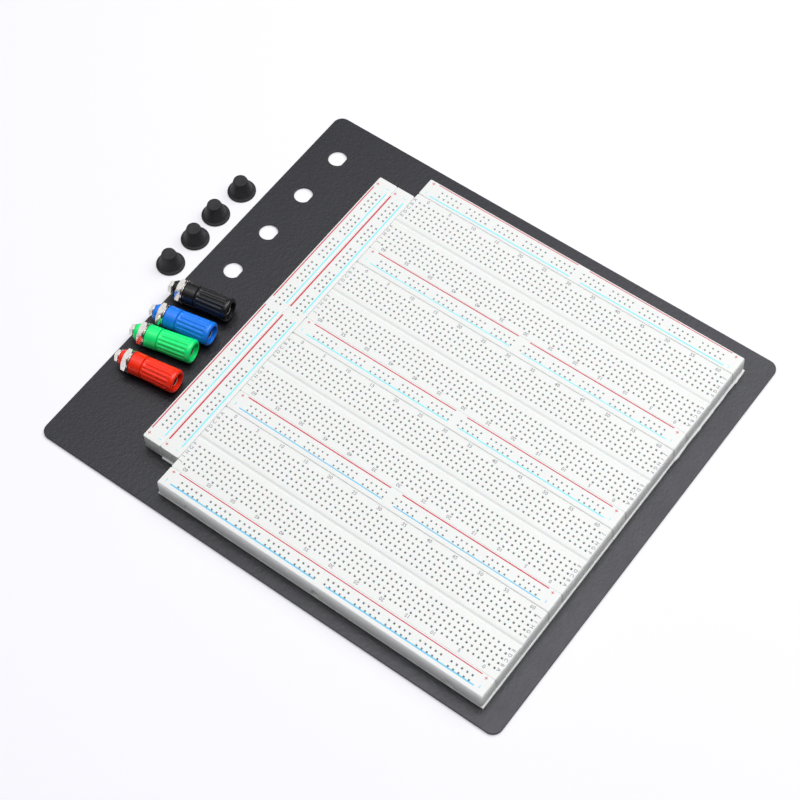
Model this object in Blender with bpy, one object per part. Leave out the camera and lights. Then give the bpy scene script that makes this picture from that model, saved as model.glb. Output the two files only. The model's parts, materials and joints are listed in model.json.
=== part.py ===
"""Solderless breadboard on a base plate, with four loose binding posts and four loose feet.

Metres, +Z up. The origin is the centre of the plate's underside. +X runs along the rows of
columns, +Y runs towards the back of the board.
"""

import math

import bmesh
import bpy
from mathutils import Matrix, Vector

MM = 0.001
GAP = 0.25 * MM  # left between two pieces that touch

# Base plate
PLATE_LENGTH = 237.0 * MM
PLATE_DEPTH = 210.0 * MM
PLATE_THICKNESS = 1.2 * MM
PLATE_CORNER_RADIUS = 4.5 * MM
POST_HOLE_RADIUS = 4.3 * MM
POST_HOLE_FLAT = 3.8 * MM  # from the hole's centre to its flat side
POST_HOLE_X = -104.2 * MM
POST_HOLE_BACK_Y = 84.4 * MM
POST_HOLE_PITCH = 25.4 * MM
POST_HOLES = 4

# Strips
PITCH = 2.54 * MM
COLUMNS = 63
STRIP_LENGTH = 165.1 * MM
BUS_WIDTH = 9.6 * MM  # room that a strip takes, with its share of the seams
TERMINAL_WIDTH = 36.0 * MM
STRIP_HEIGHT = 8.0 * MM
PAD_ZONE = 1.0 * MM  # from the plate to the strips
BLOCK_LEFT = -58.1 * MM
BLOCK_FRONT = -98.0 * MM
SIDE_CENTRE_Y = -1.2 * MM
UNITS = 4  # boards of one bus strip and one terminal strip each, and the last has a second bus strip
WALL = 1.5 * MM
BANK_OFFSET = 3.5 * PITCH  # from a terminal strip's centre line to the middle row of a bank
BANK_POCKET = 12.8 * MM
GROOVE_WIDTH = 2.4 * MM
GROOVE_DEPTH = 1.3 * MM
BUS_POCKET = 6.0 * MM
DOVETAIL_X = (-65.2 * MM, 1.5 * MM, 68.2 * MM)
SOCKET_WIDTH = 3.4 * MM
SOCKET_DEPTH = 1.5 * MM
SOCKET_HEIGHT = 4.3 * MM
TAB_CLEARANCE = 0.3 * MM
PAD_LIP = 0.25 * MM  # how far the foam shows past the strips' right ends
SIDE_PAD_LIP = 0.8 * MM

# Contacts: each bank's clips stand on a thin web that keeps one strip's set in one piece
WEB_THICKNESS = 0.3 * MM
CLIP_WIDTH = 1.5 * MM
CLIP_HEIGHT = 5.9 * MM
CLIP_DEPTH = 12.2 * MM
RAIL_WIDTH = 1.6 * MM
RAIL_GROUPS = 5  # groups of five holes in half a bus strip
GROUP_STEP = 6 * PITCH
FIRST_GROUP_COLUMN = 2  # columns before the first group
LINK_WIDTH = 1.5 * MM

# Binding posts, as stations along the axis from the cap's front face, towards the rear
CAP_LENGTH = 16.4 * MM
CAP_FRONT_RADIUS = 5.4 * MM
CAP_REAR_RADIUS = 5.0 * MM
CAP_EDGE = 1.0 * MM
CAP_RIBS = 16
FLUTE_DEPTH = 0.45 * MM
FLUTE_FRONT = 2.4 * MM
FLUTE_REAR = 15.2 * MM
RECESS_RADIUS = 3.3 * MM
RECESS_DEPTH = 3.0 * MM
CAP_BORE = 3.1 * MM
INSERT_BORE = 4.4 * MM
INSERT_FRONT = 5.9 * MM
INSERT_REAR = 13.5 * MM
INSERT_RADIUS = 4.1 * MM
BASE_RADIUS = 5.1 * MM
BASE_FRONT = 16.7 * MM
BASE_REAR = 22.2 * MM
BOSS_RADIUS = 3.8 * MM
BOSS_FLAT = 3.4 * MM
BOSS_REAR = 28.4 * MM
STUD_FRONT = 1.0 * MM
CORE_RADIUS = 2.8 * MM
CORE_REAR = 21.0 * MM
SOCKET_RADIUS = 2.05 * MM
SOCKET_BOTTOM = 13.2 * MM
WIRE_HOLE_RADIUS = 1.0 * MM
WIRE_HOLE_STATION = 15.0 * MM
STUD_RADIUS = 1.9 * MM
STUD_REAR = 31.0 * MM
PANEL_NUT_FLATS = 10.0 * MM
PANEL_NUT_BORE = 4.05 * MM
PANEL_NUT_FRONT = 23.3 * MM
PANEL_NUT_REAR = 25.7 * MM
REAR_NUT_FLATS = 5.2 * MM
REAR_NUT_BORE = 2.15 * MM
REAR_NUT_FRONT = 28.7 * MM
REAR_NUT_REAR = 30.4 * MM
RUNNING_GAP = 0.3 * MM
POSTS = {  # cap's front face on the axis (X, Y), and the axis's turn about +Z
    "black": ((-88.2 * MM, -12.0 * MM), math.radians(9.9)),
    "blue": ((-86.9 * MM, -26.4 * MM), math.radians(9.9)),
    "green": ((-87.6 * MM, -37.9 * MM), math.radians(12.5)),
    "red": ((-83.7 * MM, -53.8 * MM), math.radians(8.4)),
}
POST_COLOURS = {
    "black": (0.012, 0.012, 0.013),
    "blue": (0.01, 0.16, 0.80),
    "green": (0.01, 0.75, 0.14),
    "red": (0.85, 0.02, 0.008),
}

# Feet
FOOT_CENTRES = (
    (-128.8 * MM, 44.9 * MM),
    (-130.0 * MM, 27.7 * MM),
    (-129.2 * MM, 12.1 * MM),
    (-129.4 * MM, -4.9 * MM),
)
FOOT_RADIUS = 6.5 * MM
FOOT_HEIGHT = 8.2 * MM
FOOT_RIM = 0.7 * MM
FOOT_NECK_RADIUS = 5.5 * MM
FOOT_NECK_HEIGHT = 1.2 * MM
FOOT_TOP_RADIUS = 3.25 * MM
FOOT_TOP_CHAMFER = 0.3 * MM

WHITE = (0.86, 0.87, 0.86)
NICKEL = (0.72, 0.70, 0.66)
BRASS = (0.76, 0.56, 0.24)
FOAM = (0.88, 0.88, 0.86)
PLATE_GREY = (0.05, 0.05, 0.055)
RUBBER = (0.016, 0.016, 0.018)

ROUND = 24  # sides of a round piece


def clear_scene():
    for old in list(bpy.data.objects):
        bpy.data.objects.remove(old, do_unlink=True)


def material(name, colour, roughness, metallic=0.0):
    made = bpy.data.materials.new(name)
    made.use_nodes = True
    shader = made.node_tree.nodes["Principled BSDF"]
    shader.inputs["Base Color"].default_value = (*colour, 1.0)
    shader.inputs["Roughness"].default_value = roughness
    shader.inputs["Metallic"].default_value = metallic
    return made


def mesh_from(bm, name):
    bmesh.ops.recalc_face_normals(bm, faces=bm.faces)
    mesh = bpy.data.meshes.new(name)
    bm.to_mesh(mesh)
    bm.free()
    return mesh


def placed(name, mesh, surface, location=(0.0, 0.0, 0.0), turn=0.0, parent=None):
    """An object of its own for a mesh, which other objects may share."""
    made = bpy.data.objects.new(name, mesh)
    made.location = location
    made.rotation_euler = (0.0, 0.0, turn)
    made.parent = parent
    if not mesh.materials:
        mesh.materials.append(surface)
    made.material_slots[0].link = "OBJECT"
    made.material_slots[0].material = surface
    bpy.context.scene.collection.objects.link(made)
    return made


def add_prism(bm, outline, low, high):
    """A closed prism on an outline in X and Y, between two heights."""
    base = bm.faces.new([bm.verts.new((x, y, low)) for x, y in outline])
    raised = bmesh.ops.extrude_face_region(bm, geom=[base])
    top = [item for item in raised["geom"] if isinstance(item, bmesh.types.BMVert)]
    bmesh.ops.translate(bm, verts=top, vec=(0.0, 0.0, high - low))


def add_box(bm, low, high):
    outline = [(low[0], low[1]), (high[0], low[1]), (high[0], high[1]), (low[0], high[1])]
    add_prism(bm, outline, low[2], high[2])


def mesh_of(name, fill):
    """The mesh that fill(bm) draws."""
    bm = bmesh.new()
    fill(bm)
    return mesh_from(bm, name)


def boolean(mesh, tool, operation):
    """The mesh after a Boolean with the tool mesh."""
    scene = bpy.context.scene
    body = bpy.data.objects.new("boolean_body", mesh)
    cutter = bpy.data.objects.new("boolean_cutter", tool)
    cutter.hide_render = True
    cutter.display_type = "WIRE"
    for item in (body, cutter):
        scene.collection.objects.link(item)
    step = body.modifiers.new("boolean", "BOOLEAN")
    step.operation = operation
    step.solver = "EXACT"
    step.object = cutter
    bpy.context.view_layer.update()
    graph = bpy.context.evaluated_depsgraph_get()
    made = bpy.data.meshes.new_from_object(body.evaluated_get(graph))
    made.name = mesh.name
    for item in (body, cutter):
        bpy.data.objects.remove(item, do_unlink=True)
    return made


def ring_mesh(name, rings, sides, flute=0.0):
    """A body turned about X. Each ring is (station behind the front, radius, fluted); the rings
    run once round the closed profile, and a radius of 0 is a point on the axis."""
    bm = bmesh.new()
    loops = []
    for station, radius, fluted in rings:
        if radius == 0.0:
            loops.append([bm.verts.new((-station, 0.0, 0.0))])
            continue
        loop = []
        for k in range(sides):
            reach = radius - flute * (k % 2) if fluted else radius
            angle = 2.0 * math.pi * k / sides
            loop.append(bm.verts.new((-station, reach * math.cos(angle), reach * math.sin(angle))))
        loops.append(loop)
    for first, second in zip(loops, loops[1:] + loops[:1]):
        if len(first) == 1 and len(second) == 1:
            continue
        for k in range(sides):
            n = (k + 1) % sides
            corners = [first[k % len(first)], first[n % len(first)]]
            corners += [second[n % len(second)], second[k % len(second)]]
            bm.faces.new(list(dict.fromkeys(corners)))
    return mesh_from(bm, name)


def smooth_round(mesh, degrees=35.0):
    mesh.shade_smooth()
    mesh.set_sharp_from_angle(angle=math.radians(degrees))
    return mesh


def arc_points(centre, radius, start, end, steps):
    for k in range(steps + 1):
        angle = start + (end - start) * k / steps
        yield centre[0] + radius * math.cos(angle), centre[1] + radius * math.sin(angle)


def d_outline(centre, radius, flat):
    """A circle cut off by a flat side towards +X."""
    half = math.acos(flat / radius)
    return list(arc_points(centre, radius, half, 2.0 * math.pi - half, ROUND))


# Base plate ---------------------------------------------------------------------------------

def plate_mesh():
    half = (PLATE_LENGTH / 2, PLATE_DEPTH / 2)
    outline = []
    for quarter, (sx, sy) in enumerate(((1, 1), (-1, 1), (-1, -1), (1, -1))):
        centre = (
            sx * (half[0] - PLATE_CORNER_RADIUS),
            sy * (half[1] - PLATE_CORNER_RADIUS),
        )
        start = quarter * math.pi / 2
        outline += arc_points(centre, PLATE_CORNER_RADIUS, start, start + math.pi / 2, 5)
    sheet = mesh_of("base_plate", lambda bm: add_prism(bm, outline, 0.0, PLATE_THICKNESS))

    def holes(bm):
        for k in range(POST_HOLES):
            centre = (POST_HOLE_X, POST_HOLE_BACK_Y - k * POST_HOLE_PITCH)
            outline = d_outline(centre, POST_HOLE_RADIUS, POST_HOLE_FLAT)
            add_prism(bm, outline, -PLATE_THICKNESS, 2 * PLATE_THICKNESS)

    return boolean(sheet, mesh_of("post_holes", holes), "DIFFERENCE")


# Strips: drawn about their own centre, with their underside at 0 ------------------------------

def strip_mesh(name, width, pockets, groove):
    """A moulded housing, open below, with dovetail sockets in front and tabs behind."""
    half_x = STRIP_LENGTH / 2
    half_y = (width - GAP) / 2
    shell = mesh_of(
        name,
        lambda bm: add_box(bm, (-half_x, -half_y, 0.0), (half_x, half_y, STRIP_HEIGHT)),
    )

    def cuts(bm):
        for low_y, high_y, roof in pockets:
            low = (-half_x + WALL, low_y, -WALL)
            add_box(bm, low, (half_x - WALL, high_y, roof))
        if groove:
            low = (-half_x - WALL, -GROOVE_WIDTH / 2, STRIP_HEIGHT - GROOVE_DEPTH)
            add_box(bm, low, (half_x + WALL, GROOVE_WIDTH / 2, STRIP_HEIGHT + WALL))

    def sockets(bm):
        for x in DOVETAIL_X:
            low = (x - SOCKET_WIDTH / 2, -half_y - WALL, -WALL)
            add_box(bm, low, (x + SOCKET_WIDTH / 2, -half_y + SOCKET_DEPTH, SOCKET_HEIGHT))

    def tabs(bm):
        half_tab = SOCKET_WIDTH / 2 - TAB_CLEARANCE
        reach = SOCKET_DEPTH - TAB_CLEARANCE + GAP
        for x in DOVETAIL_X:
            low = (x - half_tab, half_y - WALL / 2, TAB_CLEARANCE)
            add_box(bm, low, (x + half_tab, half_y + reach, SOCKET_HEIGHT - TAB_CLEARANCE))

    shell = boolean(shell, mesh_of("pockets", cuts), "DIFFERENCE")
    shell = boolean(shell, mesh_of("sockets", sockets), "DIFFERENCE")
    return boolean(shell, mesh_of("tabs", tabs), "UNION")


def terminal_strip():
    """The housing, with its two banks' pockets joined under the groove."""
    inner = BANK_OFFSET - BANK_POCKET / 2
    outer = BANK_OFFSET + BANK_POCKET / 2
    roof = STRIP_HEIGHT - WALL
    banks = [(inner, outer, roof), (-outer, -inner, roof)]
    shell = strip_mesh("terminal_strip", TERMINAL_WIDTH, banks, True)
    low = (-STRIP_LENGTH / 2 + WALL, -inner - WALL, -WALL)
    high = (STRIP_LENGTH / 2 - WALL, inner + WALL, roof - GROOVE_DEPTH)
    return boolean(shell, mesh_of("under_groove", lambda bm: add_box(bm, low, high)), "DIFFERENCE")


def bus_strip():
    pocket = [(-BUS_POCKET / 2, BUS_POCKET / 2, STRIP_HEIGHT - WALL)]
    return strip_mesh("bus_strip", BUS_WIDTH, pocket, False)


# Contacts: drawn about the strip's centre, with their feet at 0 --------------------------------

def comb_outline(centres, tooth_width, margin):
    """Teeth on a web, in X and height."""
    points = [(centres[0] - margin, 0.0), (centres[-1] + margin, 0.0)]
    points.append((centres[-1] + margin, WEB_THICKNESS))
    for x in reversed(centres):
        points.append((x + tooth_width / 2, WEB_THICKNESS))
        points.append((x + tooth_width / 2, CLIP_HEIGHT))
        points.append((x - tooth_width / 2, CLIP_HEIGHT))
        points.append((x - tooth_width / 2, WEB_THICKNESS))
    points.append((centres[0] - margin, WEB_THICKNESS))
    return points


def add_comb(bm, outline, low_y, high_y):
    """An outline in X and height, drawn out along Y."""
    base = bm.faces.new([bm.verts.new((x, low_y, z)) for x, z in outline])
    drawn = bmesh.ops.extrude_face_region(bm, geom=[base])
    moved = [item for item in drawn["geom"] if isinstance(item, bmesh.types.BMVert)]
    bmesh.ops.translate(bm, verts=moved, vec=(0.0, high_y - low_y, 0.0))


def terminal_contacts():
    """63 clips in each of two banks, on webs joined by a link near each end."""
    first = -(COLUMNS - 1) * PITCH / 2
    centres = [first + k * PITCH for k in range(COLUMNS)]
    comb = comb_outline(centres, CLIP_WIDTH, PITCH / 2)

    def bank(bm, side):
        middle = side * BANK_OFFSET
        add_comb(bm, comb, middle - CLIP_DEPTH / 2, middle + CLIP_DEPTH / 2)

    made = mesh_of("terminal_contacts", lambda bm: bank(bm, -1))
    made = boolean(made, mesh_of("second_bank", lambda bm: bank(bm, 1)), "UNION")

    def links(bm):
        reach = BANK_OFFSET - CLIP_DEPTH / 2 + LINK_WIDTH
        for x in (first + PITCH / 2, -first - PITCH / 2):
            low = (x - CLIP_WIDTH / 4, -reach, 0.0)
            add_box(bm, low, (x + CLIP_WIDTH / 4, reach, 2 * WEB_THICKNESS))

    return boolean(made, mesh_of("links", links), "UNION")


def bus_contacts():
    """Two polarities, each in two halves of five groups, on links between them."""
    first = -(COLUMNS - 1) * PITCH / 2 + FIRST_GROUP_COLUMN * PITCH
    group_length = 4 * PITCH + RAIL_WIDTH
    centres = [first + 2 * PITCH + k * GROUP_STEP for k in range(2 * RAIL_GROUPS)]
    comb = comb_outline(centres, group_length, GROUP_STEP / 2)

    def rail(bm, side):
        middle = side * PITCH / 2
        add_comb(bm, comb, middle - RAIL_WIDTH / 2, middle + RAIL_WIDTH / 2)

    made = mesh_of("bus_contacts", lambda bm: rail(bm, -1))
    made = boolean(made, mesh_of("second_rail", lambda bm: rail(bm, 1)), "UNION")

    def links(bm):
        end = centres[-1] + GROUP_STEP / 2 - LINK_WIDTH
        for x in (-end, 0.0, end):
            low = (x - LINK_WIDTH / 2, -PITCH / 2, 0.0)
            add_box(bm, low, (x + LINK_WIDTH / 2, PITCH / 2, 2 * WEB_THICKNESS))

    return boolean(made, mesh_of("links", links), "UNION")


# Binding posts: drawn along -X from the middle of the cap's front face -------------------------

def cap_mesh():
    rings = [
        (CAP_LENGTH, INSERT_BORE, False),
        (CAP_LENGTH, CAP_REAR_RADIUS, False),
        (FLUTE_REAR, CAP_REAR_RADIUS, False),
        (FLUTE_REAR - CAP_EDGE, CAP_REAR_RADIUS, True),
        (FLUTE_FRONT + CAP_EDGE, CAP_FRONT_RADIUS, True),
        (FLUTE_FRONT, CAP_FRONT_RADIUS, False),
        (CAP_EDGE, CAP_FRONT_RADIUS, False),
        (0.0, CAP_FRONT_RADIUS - CAP_EDGE, False),
        (0.0, RECESS_RADIUS, False),
        (RECESS_DEPTH, RECESS_RADIUS, False),
        (RECESS_DEPTH, CAP_BORE, False),
        (INSERT_FRONT - GAP, CAP_BORE, False),
        (INSERT_FRONT - GAP, INSERT_BORE, False),
    ]
    return smooth_round(ring_mesh("cap", rings, 2 * CAP_RIBS, FLUTE_DEPTH), 50.0)


def insert_mesh():
    rings = [
        (INSERT_REAR, CAP_BORE, False),
        (INSERT_REAR, INSERT_RADIUS, False),
        (INSERT_FRONT, INSERT_RADIUS, False),
        (INSERT_FRONT, CAP_BORE, False),
    ]
    return smooth_round(ring_mesh("cap_insert", rings, ROUND))


def base_mesh():
    """The insulator: a smooth ring in front, and a boss with a flat side behind."""
    rear_bore = STUD_RADIUS + RUNNING_GAP
    front_bore = CORE_RADIUS + RUNNING_GAP
    step = CORE_REAR + RUNNING_GAP
    chamfer = CAP_EDGE / 2
    rings = [
        (BOSS_REAR, rear_bore, False),
        (BOSS_REAR, BOSS_RADIUS - chamfer, False),
        (BOSS_REAR - chamfer, BOSS_RADIUS, False),
        (BASE_REAR, BOSS_RADIUS, False),
        (BASE_REAR, BASE_RADIUS, False),
        (BASE_FRONT, BASE_RADIUS, False),
        (BASE_FRONT, front_bore, False),
        (step, front_bore, False),
        (step, rear_bore, False),
    ]
    turned = ring_mesh("base", rings, ROUND)
    low = (-BOSS_REAR - WALL, -BASE_RADIUS, -BASE_RADIUS)
    high = (-BASE_REAR, BASE_RADIUS, -BOSS_FLAT)
    flat = mesh_of("boss_flat", lambda bm: add_box(bm, low, high))
    return smooth_round(boolean(turned, flat, "DIFFERENCE"))


def stud_mesh():
    """A threaded rod behind, and a core with a plug socket and a wire hole in front."""
    rings = [
        (STUD_REAR, 0.0, False),
        (STUD_REAR, STUD_RADIUS, False),
        (CORE_REAR, STUD_RADIUS, False),
        (CORE_REAR, CORE_RADIUS, False),
        (STUD_FRONT, CORE_RADIUS, False),
        (STUD_FRONT, SOCKET_RADIUS, False),
        (SOCKET_BOTTOM, SOCKET_RADIUS, False),
        (SOCKET_BOTTOM, 0.0, False),
    ]
    core = ring_mesh("stud", rings, ROUND)
    reach = 2 * CORE_RADIUS
    bm = bmesh.new()
    across = Matrix.Translation(Vector((-WIRE_HOLE_STATION, 0.0, 0.0)))
    across @= Matrix.Rotation(math.pi / 2, 4, "X")
    bmesh.ops.create_cone(
        bm,
        cap_ends=True,
        segments=12,
        radius1=WIRE_HOLE_RADIUS,
        radius2=WIRE_HOLE_RADIUS,
        depth=reach,
        matrix=across,
    )
    return smooth_round(boolean(core, mesh_from(bm, "wire_hole"), "DIFFERENCE"))


def nut_mesh(name, flats, bore, front, rear):
    """A hexagon nut about X with one flat side down."""
    corner = flats / 2 / math.cos(math.pi / 6)
    bm = bmesh.new()
    outline = list(arc_points((0.0, 0.0), corner, math.pi / 3, math.pi / 3 + 5 * math.pi / 3, 5))
    low = bm.faces.new([bm.verts.new((-rear, y, z)) for y, z in outline])
    grown = bmesh.ops.extrude_face_region(bm, geom=[low])
    moved = [item for item in grown["geom"] if isinstance(item, bmesh.types.BMVert)]
    bmesh.ops.translate(bm, verts=moved, vec=(rear - front, 0.0, 0.0))
    block = mesh_from(bm, name)
    rings = [
        (front - WALL, 0.0, False),
        (front - WALL, bore, False),
        (rear + WALL, bore, False),
        (rear + WALL, 0.0, False),
    ]
    return boolean(block, ring_mesh("nut_bore", rings, ROUND), "DIFFERENCE")


# Feet -----------------------------------------------------------------------------------------

def foot_mesh():
    """A cone-shaped foot with a thin flange, standing on its wide end."""
    profile = [
        (0.0, 0.0),
        (FOOT_RADIUS, 0.0),
        (FOOT_RADIUS, FOOT_RIM),
        (FOOT_NECK_RADIUS, FOOT_NECK_HEIGHT),
        (FOOT_TOP_RADIUS, FOOT_HEIGHT - FOOT_TOP_CHAMFER),
        (FOOT_TOP_RADIUS - FOOT_TOP_CHAMFER, FOOT_HEIGHT),
        (0.0, FOOT_HEIGHT),
    ]
    mesh = ring_mesh("rubber_foot", [(-height, radius, False) for radius, height in profile], ROUND)
    mesh.transform(Matrix.Rotation(-math.pi / 2, 4, "Y"))
    return smooth_round(mesh)


# Assembly -------------------------------------------------------------------------------------

def build_pads(foam):
    """One sheet of foam under each unit of the block, and one under each side strip."""
    low_z = PLATE_THICKNESS + GAP
    high_z = PLATE_THICKNESS + PAD_ZONE - GAP
    unit_depth = BUS_WIDTH + TERMINAL_WIDTH
    right = BLOCK_LEFT + STRIP_LENGTH + PAD_LIP
    for unit in range(UNITS):
        low_y = BLOCK_FRONT + unit * unit_depth
        high_y = low_y + unit_depth + (BUS_WIDTH if unit == UNITS - 1 else 0.0)
        low = (BLOCK_LEFT, low_y + GAP / 2, low_z)
        high = (right, high_y - GAP / 2, high_z)
        sheet = mesh_of("block_pad", lambda bm, low=low, high=high: add_box(bm, low, high))
        placed(f"adhesive_pad_{unit + 1}", sheet, foam)
    for k, lip in ((0, 0.0), (1, SIDE_PAD_LIP)):
        centre_x = BLOCK_LEFT - (1.5 - k) * BUS_WIDTH
        low = (centre_x - (BUS_WIDTH - GAP) / 2, SIDE_CENTRE_Y - STRIP_LENGTH / 2 - lip, low_z)
        high = (centre_x + (BUS_WIDTH - GAP) / 2, SIDE_CENTRE_Y + STRIP_LENGTH / 2, high_z)
        sheet = mesh_of("side_pad", lambda bm, low=low, high=high: add_box(bm, low, high))
        placed(f"side_adhesive_pad_{k + 1}", sheet, foam)


def build_strips(plastic, spring_metal):
    """Housings and their contact sets: bus and terminal strips in turn, then the side strips."""
    terminal, terminal_set = terminal_strip(), terminal_contacts()
    bus, bus_set = bus_strip(), bus_contacts()
    floor_z = PLATE_THICKNESS + PAD_ZONE
    foot_z = floor_z + GAP
    centre_x = BLOCK_LEFT + STRIP_LENGTH / 2
    front = BLOCK_FRONT
    for k in range(UNITS + 1):
        middle = front + BUS_WIDTH / 2
        placed(f"bus_strip_{k + 1}", bus, plastic, (centre_x, middle, floor_z))
        placed(f"bus_contacts_{k + 1}", bus_set, spring_metal, (centre_x, middle, foot_z))
        front += BUS_WIDTH
        if k == UNITS:
            break
        middle = front + TERMINAL_WIDTH / 2
        placed(f"terminal_strip_{k + 1}", terminal, plastic, (centre_x, middle, floor_z))
        place = (centre_x, middle, foot_z)
        placed(f"terminal_contacts_{k + 1}", terminal_set, spring_metal, place)
        front += TERMINAL_WIDTH
    for k in range(2):
        x = BLOCK_LEFT - (1.5 - k) * BUS_WIDTH
        turn = math.pi / 2
        placed(f"side_bus_strip_{k + 1}", bus, plastic, (x, SIDE_CENTRE_Y, floor_z), turn)
        place = (x, SIDE_CENTRE_Y, foot_z)
        placed(f"side_bus_contacts_{k + 1}", bus_set, spring_metal, place, turn)


def build_posts(nickel, brass):
    parts = {
        "cap": cap_mesh(),
        "cap_insert": insert_mesh(),
        "base": base_mesh(),
        "stud": stud_mesh(),
        "panel_nut": nut_mesh(
            "panel_nut", PANEL_NUT_FLATS, PANEL_NUT_BORE, PANEL_NUT_FRONT, PANEL_NUT_REAR
        ),
        "rear_nut": nut_mesh(
            "rear_nut", REAR_NUT_FLATS, REAR_NUT_BORE, REAR_NUT_FRONT, REAR_NUT_REAR
        ),
    }
    axis_z = PLATE_THICKNESS + GAP + CAP_FRONT_RADIUS
    for colour, ((x, y), turn) in POSTS.items():
        plastic = material(f"{colour}_plastic", POST_COLOURS[colour], 0.25)
        axis = bpy.data.objects.new(f"{colour}_post_axis", None)
        axis.location = (x, y, axis_z)
        axis.rotation_euler = (0.0, 0.0, turn)
        bpy.context.scene.collection.objects.link(axis)
        finish = {"cap": plastic, "base": plastic, "cap_insert": brass}
        for part, mesh in parts.items():
            surface = finish.get(part, nickel)
            placed(f"{colour}_{part}", mesh, surface, parent=axis)


def build_feet(rubber):
    mesh = foot_mesh()
    for k, (x, y) in enumerate(FOOT_CENTRES):
        placed(f"rubber_foot_{k + 1}", mesh, rubber, (x, y, 0.0))


def main():
    clear_scene()
    placed("base_plate", plate_mesh(), material("powder_coat", PLATE_GREY, 0.55))
    build_pads(material("foam", FOAM, 0.9))
    build_strips(material("white_plastic", WHITE, 0.45), material("spring_metal", NICKEL, 0.3, 1.0))
    build_posts(material("nickel", NICKEL, 0.2, 1.0), material("brass", BRASS, 0.3, 1.0))
    build_feet(material("rubber", RUBBER, 0.6))


main()
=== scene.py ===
"""Looks of a solderless breadboard on its plate, with loose binding posts and loose feet.

Metres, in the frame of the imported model: the origin is the centre of the plate's underside,
+X runs along the columns, +Y towards the back and +Z up. Every piece takes its place from the
CAD nodes, and each kind of piece is one mesh that its copies share.
"""

import json
import math

import bmesh
import bpy
from mathutils import Matrix, Vector, noise


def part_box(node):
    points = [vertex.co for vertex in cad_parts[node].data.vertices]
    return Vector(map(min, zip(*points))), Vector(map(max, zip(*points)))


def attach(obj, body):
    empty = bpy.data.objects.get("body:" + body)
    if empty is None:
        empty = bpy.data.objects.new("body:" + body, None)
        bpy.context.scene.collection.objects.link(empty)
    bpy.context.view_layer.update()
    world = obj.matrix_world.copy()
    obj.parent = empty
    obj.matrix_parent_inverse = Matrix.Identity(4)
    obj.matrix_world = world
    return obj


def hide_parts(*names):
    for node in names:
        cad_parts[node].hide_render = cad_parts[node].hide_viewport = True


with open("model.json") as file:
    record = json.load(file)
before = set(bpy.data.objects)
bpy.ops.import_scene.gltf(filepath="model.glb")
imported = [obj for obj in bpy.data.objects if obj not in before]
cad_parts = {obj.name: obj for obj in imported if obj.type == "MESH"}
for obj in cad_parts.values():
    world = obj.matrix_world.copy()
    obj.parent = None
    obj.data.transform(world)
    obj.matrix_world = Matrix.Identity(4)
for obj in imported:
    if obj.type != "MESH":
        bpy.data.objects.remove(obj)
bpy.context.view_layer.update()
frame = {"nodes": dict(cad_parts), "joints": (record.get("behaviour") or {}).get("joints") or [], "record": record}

MM = 0.001
JOINTS = {joint["name"]: joint for joint in frame["joints"]}
OPENINGS = {opening["name"]: opening for opening in frame["record"]["physics"]["openings"]}

# Camera, light and floor
CAMERA_TARGET = (-3.97 * MM, -2.54 * MM, 0.0)
CAMERA_DISTANCE = 0.9207
CAMERA_AZIMUTH = math.radians(39.456)  # from -Y towards +X
CAMERA_ELEVATION = math.radians(58.430)
CAMERA_ROLL = math.radians(-3.324)
CAMERA_LENS = 97.2  # mm on the sensor below
CAMERA_SENSOR = 36.0
FLOOR_SIZE = 24.0
SOFTBOX_PLACE = (0.15, 0.48, 1.40)
SOFTBOX_AIM = (0.0, 0.1, 0.0)
SOFTBOX_SIZE = (1.25, 2.05)
SOFTBOX_POWER = 21.6
CEILING_TOWARDS = (0.0, 0.2, 0.98)
CEILING_FADE = (0.45, 0.9)
ROOM_LEVELS = (0.04, 0.86)
FLOOR_BELOW = 0.02 * MM

# Strips
PITCH = 2.54 * MM
COLUMNS = 63
STRIP_LENGTH = 165.0 * MM
STRIP_HEIGHT = 8.0 * MM
BUS_DEPTH = 9.58 * MM
TERMINAL_DEPTH = 35.92 * MM
SIDE_STRETCH = 1.005  # the side strips are a little longer than in the CAD, mostly at the back
SIDE_SHIFT = 0.25 * MM
SEAM = 0.08 * MM  # between neighbouring strips
CAD_SEAM = 0.25 * MM
EDGE = (0.30 * MM, 0.5 * MM)  # how far a top edge's rounding reaches in, and down
SEAM_EDGE = (0.10 * MM, 0.15 * MM)  # between a bus strip and the terminal strip behind it
FRONT_EDGE = (0.9 * MM, 2.2 * MM)
INNER_FRONT_EDGE = (0.6 * MM, 0.5 * MM)
END_EDGE = (0.75 * MM, 3.0 * MM)
GROOVE_EDGE = (0.02 * MM, 0.03 * MM)
CORNER = 0.8 * MM
GROOVE_CORNER = 0.05 * MM
GROOVE_WIDTH = 3.0 * MM
GROOVE_DEPTH = 0.5 * MM
ROOF = 1.5 * MM
ROWS_IN_BANK = 5
BANK_OFFSET = 3.5 * PITCH
BANK_POCKET = 13.4 * MM
BUS_POCKET = 5.8 * MM
END_WALL = 1.5 * MM
POCKET_CORNER = 0.2 * MM
PARTITION = 0.6 * MM  # walls between one clip and the next
HOLE_LEVELS = ((0.50, 0.0), (0.46, 0.05), (0.42, 0.4), (0.40, 1.5))  # half width and depth, mm
HOLE_CORNER = 0.13 * MM
INNER_HOLE_SCALE = 0.86  # of the holes in the bus strips behind the first
GROUP = 5
GROUP_STEP = 6
FIRST_GROUP = 2  # columns before the first group of a bus strip
DOVETAIL_X = (-66.7 * MM, 0.0, 66.7 * MM)
SOCKET_WIDTH = 3.4 * MM
SOCKET_HEIGHT = 4.3 * MM
SOCKET_DEPTH = 1.3 * MM
TONGUE_WIDTH = 4.6 * MM
TONGUE_HEIGHT = 2.4 * MM
TONGUE_TAPER = 0.72
TAB_CLEARANCE = 0.3 * MM

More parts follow.
